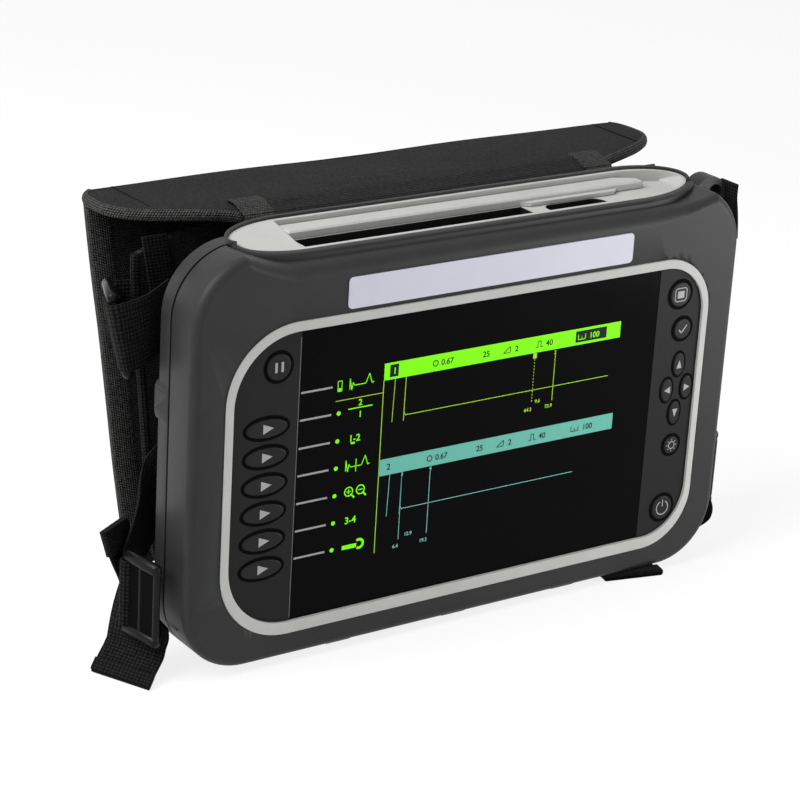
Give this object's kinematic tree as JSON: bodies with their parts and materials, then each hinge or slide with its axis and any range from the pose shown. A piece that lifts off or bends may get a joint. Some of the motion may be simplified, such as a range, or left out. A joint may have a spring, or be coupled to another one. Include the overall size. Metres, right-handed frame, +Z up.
{
  "type": "time domain reflectometer",
  "caption": "Handheld cable-fault locator with a wide display, side keys and a shuttered terminal bay on top, strapped to a soft case whose folding cover is thrown back behind it.",
  "frame": {"origin": "middle of the underside of the middle foot rib, where the part stands", "axes": "+X to the right as the user faces the display, +Y to the back, +Z up"},
  "size_m": [0.3328, 0.1051, 0.1952],
  "materials": {
    "rubber_charcoal": "satin soft-touch",
    "plastic_light_grey": "fine matt",
    "plastic_dark_grey": "fine matt",
    "key_grey": "satin",
    "window_black": "polished",
    "plastic_black": "matt",
    "silicone_black": "matt",
    "board_green": "semi-gloss",
    "steel": "brushed",
    "socket_black": "gloss",
    "label_white": "semi-matt film",
    "slide_black": "satin moulded",
    "webbing_black": "woven webbing",
    "cloth_black": "woven nylon over foam"
  },
  "bodies": {
    "instrument": {"battery_cover": "plastic_black", "battery_cover_screws": "steel", "battery_pack": "plastic_black", "bezel_ring": "plastic_light_grey", "board_spacers": "steel", "case_back_panel": "cloth_black", "case_screws": "steel", "case_seal": "silicone_black", "charge_socket": "steel", "cover_neck": "cloth_black", "data_socket": "steel", "display_window": "window_black", "eye_webbing": "webbing_black", "foot_ribs": "rubber_charcoal", "front_shell": "rubber_charcoal", "label_plate": "label_white", "lcd_module": "plastic_black", "left_key_mat": "silicone_black", "left_key_panel": "plastic_dark_grey", "left_switch_board": "board_green", "main_board": "board_green", "panel_webbing": "webbing_black", "port_panel": "plastic_black", "pulse_shield": "steel", "rear_shell": "rubber_charcoal", "right_key_mat": "silicone_black", "right_key_panel": "plastic_dark_grey", "right_switch_board": "board_green", "slide_lower_left": "slide_black", "slide_lower_right": "slide_black", "slide_upper_left": "slide_black", "slide_upper_right": "slide_black", "strap_lower_left": "webbing_black", "strap_lower_right": "webbing_black", "strap_upper_left": "webbing_black", "strap_upper_right": "webbing_black", "terminal_bay": "plastic_light_grey", "terminal_panel": "plastic_black", "test_sockets": "socket_black"},
    "key_accept": {"key_accept": "key_grey"},
    "key_down": {"key_down": "key_grey"},
    "key_hold": {"key_hold": "key_grey"},
    "key_left": {"key_left": "key_grey"},
    "key_light": {"key_light": "key_grey"},
    "key_menu": {"key_menu": "key_grey"},
    "key_power": {"key_power": "key_grey"},
    "key_right": {"key_right": "key_grey"},
    "key_soft_1": {"key_soft_1": "key_grey"},
    "key_soft_2": {"key_soft_2": "key_grey"},
    "key_soft_3": {"key_soft_3": "key_grey"},
    "key_soft_4": {"key_soft_4": "key_grey"},
    "key_soft_5": {"key_soft_5": "key_grey"},
    "key_soft_6": {"key_soft_6": "key_grey"},
    "key_up": {"key_up": "key_grey"},
    "shutter": {"shutter": "plastic_light_grey"},
    "cover_top": {"cover_top": "cloth_black"},
    "cover_front": {"cover_front": "cloth_black"}
  },
  "joints": [
    {"name": "key_accept_press", "type": "slide", "parent": "instrument", "child": "key_accept", "axis": [0, 1, 0], "range_m": [0, 0.001], "stiffness_N_per_m": 1200},
    {"name": "key_down_press", "type": "slide", "parent": "instrument", "child": "key_down", "axis": [0, 1, 0], "range_m": [0, 0.001], "stiffness_N_per_m": 1200},
    {"name": "key_hold_press", "type": "slide", "parent": "instrument", "child": "key_hold", "axis": [0, 1, 0], "range_m": [0, 0.001], "stiffness_N_per_m": 1200},
    {"name": "key_left_press", "type": "slide", "parent": "instrument", "child": "key_left", "axis": [0, 1, 0], "range_m": [0, 0.001], "stiffness_N_per_m": 1200},
    {"name": "key_light_press", "type": "slide", "parent": "instrument", "child": "key_light", "axis": [0, 1, 0], "range_m": [0, 0.001], "stiffness_N_per_m": 1200},
    {"name": "key_menu_press", "type": "slide", "parent": "instrument", "child": "key_menu", "axis": [0, 1, 0], "range_m": [0, 0.001], "stiffness_N_per_m": 1200},
    {"name": "key_power_press", "type": "slide", "parent": "instrument", "child": "key_power", "axis": [0, 1, 0], "range_m": [0, 0.001], "stiffness_N_per_m": 1200},
    {"name": "key_right_press", "type": "slide", "parent": "instrument", "child": "key_right", "axis": [0, 1, 0], "range_m": [0, 0.001], "stiffness_N_per_m": 1200},
    {"name": "key_soft_1_press", "type": "slide", "parent": "instrument", "child": "key_soft_1", "axis": [0, 1, 0], "range_m": [0, 0.001], "stiffness_N_per_m": 1200},
    {"name": "key_soft_2_press", "type": "slide", "parent": "instrument", "child": "key_soft_2", "axis": [0, 1, 0], "range_m": [0, 0.001], "stiffness_N_per_m": 1200},
    {"name": "key_soft_3_press", "type": "slide", "parent": "instrument", "child": "key_soft_3", "axis": [0, 1, 0], "range_m": [0, 0.001], "stiffness_N_per_m": 1200},
    {"name": "key_soft_4_press", "type": "slide", "parent": "instrument", "child": "key_soft_4", "axis": [0, 1, 0], "range_m": [0, 0.001], "stiffness_N_per_m": 1200},
    {"name": "key_soft_5_press", "type": "slide", "parent": "instrument", "child": "key_soft_5", "axis": [0, 1, 0], "range_m": [0, 0.001], "stiffness_N_per_m": 1200},
    {"name": "key_soft_6_press", "type": "slide", "parent": "instrument", "child": "key_soft_6", "axis": [0, 1, 0], "range_m": [0, 0.001], "stiffness_N_per_m": 1200},
    {"name": "key_up_press", "type": "slide", "parent": "instrument", "child": "key_up", "axis": [0, 1, 0], "range_m": [0, 0.001], "stiffness_N_per_m": 1200},
    {"name": "shutter_slide", "type": "slide", "parent": "instrument", "child": "shutter", "axis": [1, 0, 0], "range_m": [0, 0.008]},
    {"name": "cover_swing", "type": "hinge", "parent": "instrument", "child": "cover_top", "pos_m": [0, 0.0155, 0.193], "axis": [1, 0, 0], "range_deg": [0, 180]},
    {"name": "cover_fold", "type": "hinge", "parent": "cover_top", "child": "cover_front", "pos_m": [0, 0.071, 0.192], "axis": [1, 0, 0], "range_deg": [0, 188]}
  ],
  "couplings": [
    {"joint": "cover_fold", "follows": "cover_swing", "ratio": 1.04}
  ]
}
